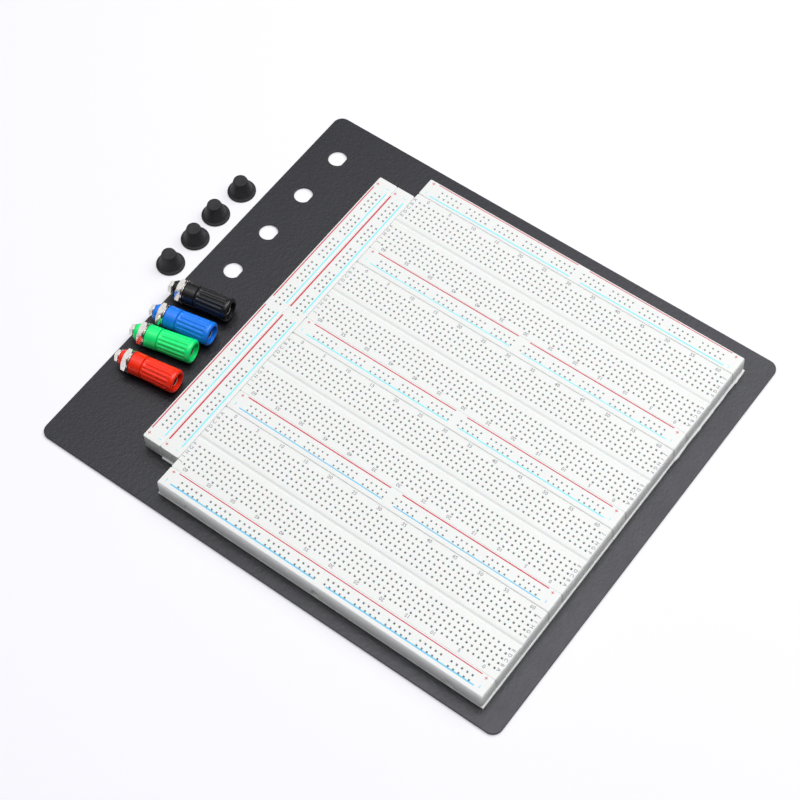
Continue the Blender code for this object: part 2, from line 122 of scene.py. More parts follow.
# Print, about a strip's centre
INK = 0.02 * MM
LINE_SPANS = ((-77.3 * MM, -2.15 * MM), (3.65 * MM, 76.5 * MM))
SIDE_LINE_SPANS = ((-77.3 * MM, -1.0 * MM), (4.25 * MM, 76.5 * MM))
BUS_LINES = {  # place and width in mm of each bus strip's plus line and minus line
    "bus_strip_1": ((4.0, 0.46), (-1.93, 0.66)),
    "bus_strip_2": ((4.1, 0.54), (-2.25, 0.52)),
    "bus_strip_3": ((4.02, 0.48), (-2.2, 0.48)),
    "bus_strip_4": ((4.27, 0.48), (-2.2, 0.40)),
    "bus_strip_5": ((4.1, 0.38), (-3.22, 0.50)),
    "side_bus_strip_1": ((3.95, 0.52), (-3.05, 0.52)),
    "side_bus_strip_2": ((4.1, 0.70), (-2.72, 0.58)),
}
UNBROKEN_PLUS_LINE = "bus_strip_1"
BLUE_MINUS_LINES = ("bus_strip_1", "bus_strip_2")  # the others are printed in a greener blue
MARK_X = (-79.8 * MM, 78.7 * MM)
PLUS_Y = 3.35 * MM
MINUS_RISE = 0.8 * MM  # from the minus line to its mark
MARK_SIZE = 1.5 * MM
MARK_STROKE = 0.28 * MM
CAPITAL_HEIGHT = 0.69  # as a share of the font's size
FIGURE_HEIGHT = 1.6 * MM
FIGURE_BOLD = 0.035 * MM
FIGURE_Y = 16.15 * MM
FIGURE_STEP = 5
FIGURE_SHIFT = (-0.3 * MM, 0.25 * MM, 0.0)
ZERO_SHIFT = 0.8 * MM
LETTER_HEIGHT = 1.5 * MM
LETTER_X = 81.0 * MM

# Contacts
LEAF = 0.22 * MM
LEAF_WIDTH = 1.9 * MM
CLIP_WIDTH = 1.5 * MM
CLIP_HEIGHT = 5.9 * MM
CLIP_LENGTH = 12.2 * MM
PINCH = 0.12 * MM

# Foam
FOAM_LIP = 0.35 * MM  # past the CAD pads' right ends
TORN_LIP = 0.55 * MM
FRONT_FOAM_LIP = 0.3 * MM
TORN_WAVES = (130.0, 420.0)  # a slow and a fast one, per metre

# Plate
PLATE_CORNER = 4.5 * MM
PLATE_EDGE = 0.18 * MM
POST_HOLE_RADIUS = 4.3 * MM
POST_HOLE_FLAT = 3.8 * MM

# Binding posts, as stations behind the cap's front face
CAP_LENGTH = 16.4 * MM
CAP_FRONT_RADIUS = 5.4 * MM
CAP_REAR_RADIUS = 5.0 * MM
CAP_ROUND = 1.2 * MM
CAP_RIBS = 16
FLUTE_DEPTH = 0.38 * MM
FLUTE_FRONT = 2.2 * MM
FLUTE_REAR = 15.5 * MM
FLUTE_RUNOUT = 1.1 * MM
FLUTE_POWER = 1.9  # narrows the channels and widens the ribs
RECESS_RADIUS = 3.8 * MM
RECESS_DEPTH = 3.0 * MM
CAP_BORE = 3.1 * MM
INSERT_FRONT = 5.9 * MM
INSERT_REAR = 13.5 * MM
INSERT_RADIUS = 4.1 * MM
KNURLS = 36
KNURL_DEPTH = 0.12 * MM
BASE_RADIUS = 5.1 * MM
BASE_FRONT = 16.6 * MM
BASE_REAR = 22.2 * MM
BOSS_RADIUS = 3.8 * MM
BOSS_FLAT = 3.4 * MM
BOSS_REAR = 28.4 * MM
BOSS_ROUND = 1.3 * MM
STUD_FRONT = 1.4 * MM
STUD_THREAD_REAR = 13.6 * MM
CORE_RADIUS = 2.8 * MM
CORE_REAR = 21.0 * MM
SOCKET_RADIUS = 2.05 * MM
SOCKET_BOTTOM = 13.2 * MM
WIRE_HOLE_RADIUS = 1.0 * MM
WIRE_HOLE_STATION = 15.0 * MM
ROD_RADIUS = 1.9 * MM
ROD_REAR = 31.0 * MM
ROD_THREAD_FRONT = 26.0 * MM
THREAD_PITCH = 0.7 * MM
THREAD_DEPTH = 0.32 * MM
WASHER_FRONT = 22.3 * MM
WASHER_REAR = 22.9 * MM
WASHER_RADIUS = 5.3 * MM
PANEL_NUT = (10.0 * MM, 3.85 * MM, 23.1 * MM, 25.8 * MM)  # across flats, bore, front, rear
REAR_NUT = (5.2 * MM, 1.95 * MM, 28.75 * MM, 30.4 * MM)
TAG_THICKNESS = 0.3 * MM
TAG_REACH = 5.4 * MM
TAG_RING = (2.0 * MM, 3.1 * MM)  # inner and outer radius
TAG_EYE = (0.6 * MM, 1.2 * MM)
COLOURS = ("black", "blue", "green", "red")

# Feet
FOOT_RADIUS = 6.5 * MM
FOOT_NECK = 5.5 * MM  # the cone's width just above the flange
FOOT_TOP = 3.25 * MM
FOOT_HEIGHT = 8.2 * MM
FOOT_CURVE = 0.86  # of the cone, where 1 is straight


def srgb(*levels):
    """Linear colour of a level from 0 to 255 for red, green and blue."""
    shares = [level / 255.0 for level in levels]
    return tuple(s / 12.92 if s <= 0.04045 else ((s + 0.055) / 1.055) ** 2.4 for s in shares)


# Shapes --------

class Shape:
    """Points and faces gathered before they become a mesh."""

    def __init__(self):
        self.points = []
        self.faces = []

    def add(self, points):
        first = len(self.points)
        self.points.extend(tuple(p) for p in points)
        return list(range(first, len(self.points)))

    def loop(self, outline, height):
        return self.add([(x, y, height) for x, y in outline])

    def band(self, one, other):
        """Quads between two closed loops with as many points."""
        count = len(one)
        for k in range(count):
            n = (k + 1) % count
            self.faces.append((one[k], one[n], other[n], other[k]))

    def stack(self, loops, capped=True):
        """Bands from each loop to the next, and a face over either end."""
        for one, other in zip(loops, loops[1:]):
            self.band(one, other)
        if capped:
            self.faces += [tuple(loops[0]), tuple(loops[-1])]

    def prism(self, outline, low, high):
        self.stack([self.loop(outline, low), self.loop(outline, high)])

    def box(self, low, high):
        outline = ((low[0], low[1]), (high[0], low[1]), (high[0], high[1]), (low[0], high[1]))
        self.prism(outline, low[2], high[2])

    def copy(self, other, matrix):
        """Another shape's points and faces, moved by a matrix."""
        first = len(self.points)
        self.points.extend(tuple(matrix @ Vector(p)) for p in other.points)
        self.faces.extend(tuple(first + k for k in face) for face in other.faces)

    def mesh(self, name, sharp=35.0):
        made = bpy.data.meshes.new(name)
        made.from_pydata(self.points, [], self.faces)
        tidy = bmesh.new()
        tidy.from_mesh(made)
        bmesh.ops.recalc_face_normals(tidy, faces=tidy.faces)
        tidy.to_mesh(made)
        tidy.free()
        return smoothed(made, sharp)


def smoothed(mesh, sharp=35.0):
    mesh.shade_smooth()
    mesh.set_sharp_from_angle(angle=math.radians(sharp))
    return mesh


def arc(centre, radius, start, end, steps):
    """Points on an arc, its ends included; angles in degrees."""
    points = []
    for k in range(steps + 1):
        angle = math.radians(start + (end - start) * k / steps)
        points.append((centre[0] + radius * math.cos(angle), centre[1] + radius * math.sin(angle)))
    return points


def rounded_rectangle(low, high, radius, steps=4):
    x0, y0, x1, y1 = low[0] + radius, low[1] + radius, high[0] - radius, high[1] - radius
    outline = arc((x0, y0), radius, 180, 270, steps) + arc((x1, y0), radius, 270, 360, steps)
    return outline + arc((x1, y1), radius, 0, 90, steps) + arc((x0, y1), radius, 90, 180, steps)


def turned(rings, sides, reach=None):
    """A shape turned about X. A ring is (station behind the front, radius), the rings run once
    round a closed profile, and a radius of 0 is a point on the axis. reach(station, radius,
    angle) can change the radius."""
    shape = Shape()
    loops = []
    for station, radius in rings:
        if radius == 0.0:
            loops.append(shape.add([(-station, 0.0, 0.0)]))
            continue
        points = []
        for k in range(sides):
            angle = 2.0 * math.pi * k / sides
            r = reach(station, radius, angle) if reach else radius
            points.append((-station, r * math.cos(angle), r * math.sin(angle)))
        loops.append(shape.add(points))
    for one, other in zip(loops, loops[1:] + loops[:1]):
        if len(one) == 1 and len(other) == 1:
            continue
        for k in range(sides):
            n = (k + 1) % sides
            corners = (one[k % len(one)], one[n % len(one)])
            corners += (other[n % len(other)], other[k % len(other)])
            shape.faces.append(tuple(dict.fromkeys(corners)))
    return shape


def linked(name, data):
    """A new object in the scene."""
    made = bpy.data.objects.new(name, data)
    bpy.context.scene.collection.objects.link(made)
    return made


def evaluated(item, name):
    """The mesh that an object's modifiers, curve or text make. The object goes away."""
    graph = bpy.context.evaluated_depsgraph_get()
    mesh = bpy.data.meshes.new_from_object(item.evaluated_get(graph))
    mesh.name = name
    bpy.data.objects.remove(item, do_unlink=True)
    return mesh


def cut(mesh, tool):
    """The mesh without what the tool mesh takes away."""
    body, cutter = linked("cut_body", mesh), linked("cutter", tool)
    step = body.modifiers.new("cut", "BOOLEAN")
    step.operation = "DIFFERENCE"
    step.solver = "EXACT"
    step.object = cutter
    made = evaluated(body, mesh.name)
    bpy.data.objects.remove(cutter, do_unlink=True)
    return made


def sheet(name, outlines, thickness, edge, **settings):
    """A flat sheet about height 0 with rounded edges. Outlines inside the first are holes."""
    data = bpy.data.curves.new(name, "CURVE")
    data.dimensions = "2D"
    data.fill_mode = "BOTH"
    data.extrude = thickness / 2 - edge
    data.bevel_depth = edge
    for setting, value in settings.items():
        setattr(data, setting, value)
    for outline in outlines:
        spline = data.splines.new("POLY")
        spline.points.add(len(outline) - 1)
        for point, (x, y) in zip(spline.points, outline):
            point.co = (x, y, 0.0, 1.0)
        spline.use_cyclic_u = True
    mesh = evaluated(linked(name, data), name)
    mesh.materials.clear()
    return smoothed(mesh)


def put(name, mesh, slot, body, place=None, stands_for=(), material=None):
    """An object of the visual model, riding on a CAD body. A slot has the material of its name
    unless another is given."""
    material = MATERIALS[material or slot]
    made = linked(name, mesh)
    if place is not None:
        made.matrix_world = place
    if not mesh.materials:
        mesh.materials.append(material)
    made.material_slots[0].link = "OBJECT"
    made.material_slots[0].material = material
    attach(made, body)
    if stands_for:
        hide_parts(*stands_for)
    return made


# Materials --------

def set_range(node, *limits):
    for socket, value in zip(("From Min", "From Max", "To Min", "To Max"), limits):
        node.inputs[socket].default_value = value


NOISE_SPAN = (0.3, 0.7)  # the part of a noise's range that makes a difference


class Surface:
    """A Principled material, with helpers that add procedural detail in object space."""

    def __init__(self, name, colour, roughness, metallic=0.0, **sockets):
        self.material = bpy.data.materials.new(name)
        self.material.use_nodes = True
        self.tree = self.material.node_tree
        self.shader = self.tree.nodes["Principled BSDF"]
        self.shader.inputs["Base Color"].default_value = (*colour, 1.0)
        self.shader.inputs["Roughness"].default_value = roughness
        self.shader.inputs["Metallic"].default_value = metallic
        for socket, value in sockets.items():
            self.shader.inputs[socket.replace("_", " ")].default_value = value
        self.place = self.node("ShaderNodeTexCoord")
        self.colour = colour
        self.bumps = None

    def node(self, kind, **values):
        made = self.tree.nodes.new(kind)
        for key, value in values.items():
            setattr(made, key, value)
        return made

    def link(self, source, target):
        self.tree.links.new(source, target)

    def noise(self, scale, detail=3.0, roughness=0.55, stretch=None):
        made = self.node("ShaderNodeTexNoise")
        made.inputs["Scale"].default_value = scale
        made.inputs["Detail"].default_value = detail
        made.inputs["Roughness"].default_value = roughness
        source = self.place.outputs["Object"]
        if stretch:
            mapping = self.node("ShaderNodeMapping")
            mapping.inputs["Scale"].default_value = stretch
            self.link(source, mapping.inputs["Vector"])
            source = mapping.outputs["Vector"]
        self.link(source, made.inputs["Vector"])
        return made.outputs["Fac"]

    def cells(self, scale, feature="F1"):
        made = self.node("ShaderNodeTexVoronoi", feature=feature)
        made.inputs["Scale"].default_value = scale
        self.link(self.place.outputs["Object"], made.inputs["Vector"])
        return made.outputs["Distance"]

    def vary_roughness(self, low, high, *noise, **options):
        source = self.noise(*noise, **options)
        spread = self.node("ShaderNodeMapRange")
        set_range(spread, *NOISE_SPAN, low, high)
        self.link(source, spread.inputs["Value"])
        self.link(spread.outputs["Result"], self.shader.inputs["Roughness"])

    def vary_colour(self, low, high, *noise):
        """A noise sets the colour between two multiples of the base colour."""
        source = self.noise(*noise)
        ramp = self.node("ShaderNodeValToRGB")
        for element, place, shade in zip(ramp.color_ramp.elements, NOISE_SPAN, (low, high)):
            element.position = place
            element.color = (*[min(c * shade, 1.0) for c in self.colour], 1.0)
        self.link(source, ramp.inputs["Fac"])
        self.link(ramp.outputs["Color"], self.shader.inputs["Base Color"])

    def bump(self, source, height, strength=1.0):
        """source as a relief of that height in metres, over any relief added before."""
        made = self.node("ShaderNodeBump")
        made.inputs["Strength"].default_value = strength
        made.inputs["Distance"].default_value = height
        self.link(source, made.inputs["Height"])
        if self.bumps:
            self.link(self.bumps, made.inputs["Normal"])
        self.bumps = made.outputs["Normal"]
        self.link(self.bumps, self.shader.inputs["Normal"])


def powder_coat():
    tint = (0.94, 0.94, 1.0, 1.0)
    colour = srgb(15, 15, 20)
    surface = Surface("powder_coat", colour, 0.36, Specular_IOR_Level=0.6, Specular_Tint=tint)
    surface.vary_roughness(0.33, 0.4, 90.0)
    surface.vary_colour(0.8, 1.25, 1400.0, 2.0)
    surface.bump(surface.noise(1100.0, 3.0, 0.6), 0.09 * MM, 0.8)
    surface.bump(surface.cells(620.0, "SMOOTH_F1"), 0.09 * MM, 0.55)
    return surface.material


def white_plastic():
    depth = {"Subsurface_Weight": 0.06, "Subsurface_Scale": 1.0 * MM}
    surface = Surface("white_plastic", srgb(231, 232, 230), 0.42, **depth)
    surface.vary_roughness(0.36, 0.5, 70.0)
    surface.vary_colour(0.985, 1.0, 25.0, 2.0)
    surface.bump(surface.noise(2600.0, 2.0), 0.012 * MM, 0.5)
    surface.bump(surface.noise(40.0, 1.0), 0.06 * MM, 0.4)
    return surface.material


def foam():
    surface = Surface("foam", srgb(246, 246, 244), 0.85)
    surface.vary_colour(0.9, 1.02, 900.0, 2.0)
    surface.vary_roughness(0.75, 0.95, 300.0)
    surface.bump(surface.cells(2200.0), 0.12 * MM, 0.7)
    return surface.material


def spring_metal():
    surface = Surface("spring_metal", (0.72, 0.70, 0.66), 0.3, 1.0)
    surface.vary_roughness(0.22, 0.42, 900.0, stretch=(1.0, 12.0, 12.0))
    surface.vary_colour(0.85, 1.05, 400.0)
    surface.bump(surface.noise(5000.0, 2.0), 0.004 * MM, 0.6)
    return surface.material


def gloss_plastic(name, colour):
    depth = {"Subsurface_Weight": 0.04, "Subsurface_Scale": 0.6 * MM}
    surface = Surface(name, colour, 0.22, Coat_Weight=0.05, **depth)
    surface.vary_roughness(0.16, 0.32, 350.0)
    surface.vary_colour(0.94, 1.04, 150.0, 2.0)
    surface.bump(surface.noise(1800.0, 2.0), 0.010 * MM, 0.5)
    surface.bump(surface.noise(220.0, 1.0), 0.03 * MM, 0.35)
    return surface.material


def plated(name, colour, roughness):
    """Bright plating over turned metal: rings of fine tool marks, and dull patches."""
    surface = Surface(name, colour, roughness, 1.0)
    surface.vary_roughness(roughness * 0.7, roughness * 1.6, 700.0)
    surface.vary_colour(0.88, 1.04, 500.0)
    surface.bump(surface.noise(900.0, 2.0, stretch=(14.0, 1.0, 1.0)), 0.0025 * MM, 0.5)
    return surface.material


def rubber():
    surface = Surface("rubber", srgb(36, 36, 38), 0.62, Specular_IOR_Level=0.4)
    surface.vary_roughness(0.52, 0.74, 260.0)
    surface.vary_colour(0.8, 1.35, 600.0)
    surface.bump(surface.noise(3200.0, 3.0), 0.02 * MM, 0.8)
    return surface.material


def ink(name, colour):
    surface = Surface(name, colour, 0.5)
    surface.vary_roughness(0.42, 0.6, 400.0)
    surface.vary_colour(0.86, 1.12, 2500.0, 3.0)
    surface.bump(surface.noise(4000.0, 2.0), 0.004 * MM, 0.5)
    return surface.material


def floor_paper():
    glow = {"Emission_Color": (0.99, 0.985, 1.0, 1.0), "Emission_Strength": 0.2}
    colour = (0.715, 0.71, 0.745)
    surface = Surface("floor_paper", colour, 0.9, Specular_IOR_Level=0.1, **glow)
    surface.vary_roughness(0.86, 0.95, 30.0)
    surface.bump(surface.noise(1500.0, 2.0), 0.01 * MM, 0.2)
    return surface.material


MATERIALS = {
    "powder_coat": powder_coat(),
    "white_plastic": white_plastic(),
    "foam": foam(),
    "spring_metal": spring_metal(),
    "black_plastic": gloss_plastic("black_plastic", (0.012, 0.012, 0.013)),
    "blue_plastic": gloss_plastic("blue_plastic", (0.012, 0.22, 0.90)),
    "green_plastic": gloss_plastic("green_plastic", (0.008, 0.92, 0.22)),
    "red_plastic": gloss_plastic("red_plastic", (1.0, 0.028, 0.006)),
    "nickel": plated("nickel", (0.93, 0.89, 0.84), 0.12),
    "brass": plated("brass", (0.76, 0.56, 0.24), 0.26),
    "rubber": rubber(),
    "red_ink": ink("red_ink", srgb(206, 42, 66)),
    "blue_ink": ink("blue_ink", srgb(112, 198, 234)),
    "cyan_ink": ink("cyan_ink", srgb(112, 234, 248)),
    "grey_ink": ink("grey_ink", srgb(150, 150, 152)),
}


# Camera, light and floor --------

def add_camera():
    data = bpy.data.cameras.new("camera")
    data.lens = CAMERA_LENS
    data.sensor_width = CAMERA_SENSOR
    data.clip_start = 0.01
    data.clip_end = 20.0
    camera = linked("camera", data)
    around = Matrix.Translation(CAMERA_TARGET) @ Matrix.Rotation(CAMERA_AZIMUTH, 4, "Z")
    tilt = Matrix.Rotation(math.pi / 2 - CAMERA_ELEVATION, 4, "X")
    away = Matrix.Translation((0.0, 0.0, CAMERA_DISTANCE))
    camera.matrix_world = around @ tilt @ away @ Matrix.Rotation(CAMERA_ROLL, 4, "Z")
    bpy.context.scene.camera = camera


def add_softbox():
    data = bpy.data.lights.new("overhead", "AREA")
    data.shape = "RECTANGLE"
    data.size, data.size_y = SOFTBOX_SIZE
    data.energy = SOFTBOX_POWER
    light = linked("overhead", data)
    light.location = SOFTBOX_PLACE
    away = Vector(SOFTBOX_PLACE) - Vector(SOFTBOX_AIM)
    light.rotation_euler = away.to_track_quat("Z", "Y").to_euler()


def add_stage():
    half = FLOOR_SIZE / 2
    shape = Shape()
    shape.loop(((-half, -half), (half, -half), (half, half), (-half, half)), -FLOOR_BELOW)
    shape.faces.append((0, 1, 2, 3))
    floor = linked("floor", shape.mesh("floor"))
    floor.data.materials.append(floor_paper())
    bpy.context.scene.world = studio_world()
    bpy.context.scene.view_settings.view_transform = "Standard"


def studio_world():
    """A dim room whose ceiling is bright, most of all towards the back."""
    world = bpy.data.worlds.new("studio")
    world.use_nodes = True
    tree = world.node_tree
    background = tree.nodes["Background"]
    background.inputs["Color"].default_value = (0.97, 0.98, 1.0, 1.0)
    place = tree.nodes.new("ShaderNodeTexCoord")
    height = tree.nodes.new("ShaderNodeVectorMath")
    height.operation = "DOT_PRODUCT"
    height.inputs[1].default_value = CEILING_TOWARDS
    shade = tree.nodes.new("ShaderNodeMapRange")
    shade.interpolation_type = "SMOOTHSTEP"
    set_range(shade, *CEILING_FADE, *ROOM_LEVELS)
    tree.links.new(place.outputs["Generated"], height.inputs[0])
    tree.links.new(height.outputs["Value"], shade.inputs["Value"])
    tree.links.new(shade.outputs["Result"], background.inputs["Strength"])
    return world


# Strips --------

def ring(low, high, columns, rows, insets, radii):
    """A rounded rectangle that has a point at the end of each grid line. Counterclockwise from
    the front side; insets are for the left, front, right and back side, and radii for the
    front-right, back-right, back-left and front-left corner."""
    x0, y0, x1, y1 = low[0] + insets[0], low[1] + insets[1], high[0] - insets[2], high[1] - insets[3]
    front, right = [(x, y0) for x in columns], [(x1, y) for y in rows]
    back, left = [(x, y1) for x in reversed(columns)], [(x0, y) for y in reversed(rows)]
    corners = ((x1, y0, -1, 1), (x1, y1, -1, -1), (x0, y1, 1, -1), (x0, y0, 1, 1))
    points = []
    for k, (side, (x, y, u, v)) in enumerate(zip((front, right, back, left), corners)):
        inset = max(insets[(k + 1) % 4], insets[(k + 2) % 4])
        radius = max(radii[k] - inset, 0.02 * MM)
        start = (270 + 90 * k) % 360
        points += side + arc((x + u * radius, y + v * radius), radius, start, start + 90, 4)
    return points


def fill_round_grid(shape, loop, grid, holes):
    """Fills a level between its outer loop and the grid of cells, and the cells with no hole."""
    front, back = [column[0] for column in grid], [column[-1] for column in reversed(grid)]
    sides = [front, grid[-1], back, grid[0][::-1]]
    corner_points = 5
    start = 0
    for side in sides:
        for n in range(len(side) - 1):
            shape.faces.append((loop[start + n], loop[start + n + 1], side[n + 1], side[n]))
        last = start + len(side) - 1
        outer = [loop[(last + n) % len(loop)] for n in range(corner_points + 2)]
        shape.faces.append((*outer, side[-1]))
        start = last + corner_points + 1
    for i in range(len(grid) - 1):
        for j in range(len(grid[0]) - 1):
            if not holes(i, j):
                corners = (grid[i][j], grid[i + 1][j], grid[i + 1][j + 1], grid[i][j + 1])
                shape.faces.append(corners)


def hole_outline(half):
    """An octagon: a square with its corners cut, from the front-left corner."""
    near = half - HOLE_CORNER
    return (
        (-half, -near), (-near, -half), (near, -half), (half, -near),
        (half, near), (near, half), (-near, half), (-half, near),
    )


def add_hole(shape, centre, scale, top, bottom, height):
    """A tapered square hole. top and bottom are its cell's corners on the roof's two sides."""
    loops = []
    for half, depth in HOLE_LEVELS:
        points = [(centre[0] + x, centre[1] + y) for x, y in hole_outline(half * scale * MM)]
        loops.append(shape.loop(points, height - depth * MM))
    shape.stack(loops, capped=False)
    for corners, loop in ((top, loops[0]), (bottom, loops[-1])):
        for k in range(4):
            n = (k + 1) % 4
            shape.faces.append((corners[k], loop[2 * k + 1], loop[2 * k]))
            shape.faces.append((corners[k], corners[n], loop[2 * n], loop[2 * k + 1]))


def add_bank(shape, reach, edges, radii, hole_rows, pocket, holes, scale=1.0):
    """A block as long as the strip, with rounded top edges, its holes, and the pocket below them.

    reach is from its front to its back in Y, edges the rounding along the left, front, right and
    back side, radii the corner radii, pocket the pocket's reach, and scale that of the holes.
    """
    half_x = STRIP_LENGTH / 2
    low, high = (-half_x, reach[0]), (half_x, reach[1])
    hole_columns = column_places()
    columns = [x - PITCH / 2 for x in hole_columns] + [hole_columns[-1] + PITCH / 2]
    rows = [y - PITCH / 2 for y in hole_rows] + [hole_rows[-1] + PITCH / 2]
    outside = [shape.loop(ring(low, high, columns, rows, (0.0,) * 4, radii), 0.0)]
    depths = {drop * (1.0 - math.sin(math.radians(t))) for _, drop in edges for t in range(0, 91, 18)}
    for depth in sorted(depths, reverse=True):
        insets = [rounded_inset(edge, depth) for edge in edges]
        outside.append(shape.loop(ring(low, high, columns, rows, insets, radii), STRIP_HEIGHT - depth))
    roof_z = STRIP_HEIGHT - ROOF
    corners = (-half_x + END_WALL, pocket[0]), (half_x - END_WALL, pocket[1])
    inner = ring(*corners, columns, rows, (0.0,) * 4, (POCKET_CORNER,) * 4)
    inside = [shape.loop(inner, 0.0), shape.loop(inner, roof_z)]
    shape.stack(outside, capped=False)
    shape.band(*inside)
    shape.band(outside[0], inside[0])
    grids = []
    for height, loop in ((STRIP_HEIGHT, outside[-1]), (roof_z, inside[1])):
        grid = [shape.add([(x, y, height) for y in rows]) for x in columns]
        fill_round_grid(shape, loop, grid, holes)
        grids.append(grid)
    for i, x in enumerate(hole_columns):
        for j, y in enumerate(hole_rows):
            if holes(i, j):
                cells = [(g[i][j], g[i + 1][j], g[i + 1][j + 1], g[i][j + 1]) for g in grids]
                add_hole(shape, (x, y), scale, *cells, STRIP_HEIGHT)


def rounded_inset(edge, depth):
    """How far a rounded edge lies inside its side at a depth below the top."""
    reach, drop = edge
    share = max(1.0 - depth / drop, 0.0)
    return reach * (1.0 - math.sqrt(1.0 - share * share))


def add_partitions(shape, low_y, high_y):
    """Thin walls between neighbouring clips, under the roof."""
    columns = column_places()
    for one, other in zip(columns, columns[1:]):
        x = (one + other) / 2
        low = (x - PARTITION / 2, low_y, 0.5 * MM)
        shape.box(low, (x + PARTITION / 2, high_y, STRIP_HEIGHT - ROOF + 0.05 * MM))


def socket_outline(width, height):
    """An arch: straight sides and a low round top, in X and height."""
    half = width / 2
    rise = 0.55  # of the top, as a share of a half circle
    straight = height - rise * half
    top = [(x, straight + rise * z) for x, z in arc((0.0, 0.0), half, 0, 180, 10)]
    return [(half, -1.0 * MM), *top, (-half, -1.0 * MM)]


def add_arch(shape, outline, near_y, far_y, at_x):
    """A block with an outline in X and height, between two values of Y."""
    shape.stack([shape.add([(at_x + x, y, z) for x, z in outline]) for y in (near_y, far_y)])


def add_tongue(shape, x, front_y):
    """The sloped tongue low in a dovetail socket."""
    wide, narrow = TONGUE_WIDTH / 2, TONGUE_WIDTH / 2 * TONGUE_TAPER
    front, back = front_y + 0.05 * MM, front_y + SOCKET_DEPTH + 0.1 * MM
    low = 0.02 * MM
    a, b, c, d, e, f = shape.add([
        (x - wide, front, low), (x + wide, front, low), (x + narrow, back, TONGUE_HEIGHT),
        (x - narrow, back, TONGUE_HEIGHT), (x + narrow, back, low), (x - narrow, back, low),
    ])
    shape.faces += [(a, b, c, d), (a, d, f), (b, e, c), (c, e, f, d), (a, f, e, b)]


def housing(name, depth, banks, groove=False):
    """A strip's housing about its own centre, standing on height 0."""
    half_y = depth / 2
    front = Shape()
    add_bank(front, **banks[0])
    sockets = Shape()
    socket = socket_outline(SOCKET_WIDTH, SOCKET_HEIGHT)
    tab = socket_outline(SOCKET_WIDTH - 2 * TAB_CLEARANCE, SOCKET_HEIGHT - TAB_CLEARANCE)
    tab = [(x, max(z, 0.1 * MM)) for x, z in tab]
    for x in DOVETAIL_X:
        add_arch(sockets, socket, -half_y - MM, -half_y + SOCKET_DEPTH, x)
    mesh = cut(front.mesh(name), sockets.mesh("sockets"))
    extra = Shape()
    for bank in banks[1:]:
        add_bank(extra, **bank)
    for x in DOVETAIL_X:
        add_tongue(extra, x, -half_y)
        add_arch(extra, tab, half_y - 0.2 * MM, half_y + SOCKET_DEPTH - TAB_CLEARANCE, x)
    if groove:
        for bank in banks:
            add_partitions(extra, *bank["pocket"])
        add_trough(extra, STRIP_LENGTH / 2)
    return joined(mesh, extra.mesh(name + "_extra"))


def add_trough(shape, half_x):
    """The shallow groove between the banks, which is round at its ends like them."""
    half = GROOVE_WIDTH / 2
    low = 0.02 * MM
    across = [half * (1.0 - k / 6) for k in range(13)]
    hollow = [GROOVE_DEPTH * (0.5 + 0.5 * math.cos(math.pi * y / half)) for y in across]
    stations = []
    for side, edge in ((-1, EDGE), (1, END_EDGE)):
        depths = [edge[1] * (1.0 - math.sin(math.radians(t))) for t in range(0, 91, 15)]
        ends = [(side * (half_x - rounded_inset(edge, depth)), depth) for depth in depths]
        stations += ends[::-side]
    sections = []
    for x, depth in stations:
        top = [(x, y, max(STRIP_HEIGHT - max(dip, depth), low + 0.1 * MM)) for y, dip in zip(across, hollow)]
        sections.append(shape.add([(x, half, low), *top, (x, -half, low)]))
    shape.stack(sections)


def joined(one, other):
    """One mesh made of two."""
    both = bmesh.new()
    both.from_mesh(one)
    both.from_mesh(other)
    both.to_mesh(one)
    both.free()
    one.materials.clear()
    return smoothed(one)


def column_places():
    return [(k - (COLUMNS - 1) / 2) * PITCH for k in range(COLUMNS)]


def bank_rows(side):
    """The rows of holes in front of the groove, side -1, or behind it, side 1."""
    return [side * BANK_OFFSET + (k - ROWS_IN_BANK // 2) * PITCH for k in range(ROWS_IN_BANK)]


def terminal_housing():
    banks = []
    for side in (-1, 1):
        middle = side * BANK_OFFSET
        front, back = (CORNER, GROOVE_CORNER) if side < 0 else (GROOVE_CORNER, CORNER)
        front_edge, back_edge = (SEAM_EDGE, GROOVE_EDGE) if side < 0 else (GROOVE_EDGE, EDGE)
        banks.append({
            "reach": sorted((side * GROOVE_WIDTH / 2, side * TERMINAL_DEPTH / 2)),
            "edges": (EDGE, front_edge, END_EDGE, back_edge),
            "radii": (front, back, back, front),
            "hole_rows": bank_rows(side),
            "pocket": (middle - BANK_POCKET / 2, middle + BANK_POCKET / 2),
            "holes": lambda i, j: True,
        })
    return housing("terminal_housing", TERMINAL_DEPTH, banks, groove=True)


def in_group(column):
    """Whether a bus strip has holes in this column, counted from 0."""
    along = column - FIRST_GROUP
    return 0 <= along < COLUMNS - 2 * FIRST_GROUP and along % GROUP_STEP < GROUP


def bus_housing(name, front_edge, right_edge=END_EDGE, hole_scale=1.0):
    bank = {
        "reach": (-BUS_DEPTH / 2, BUS_DEPTH / 2),
        "edges": (EDGE, front_edge, right_edge, SEAM_EDGE),
        "radii": (CORNER,) * 4,
        "hole_rows": [-PITCH / 2, PITCH / 2],
        "pocket": (-BUS_POCKET / 2, BUS_POCKET / 2),
        "holes": lambda i, j: in_group(i),
        "scale": hole_scale,
    }
    return housing(name, BUS_DEPTH, [bank])


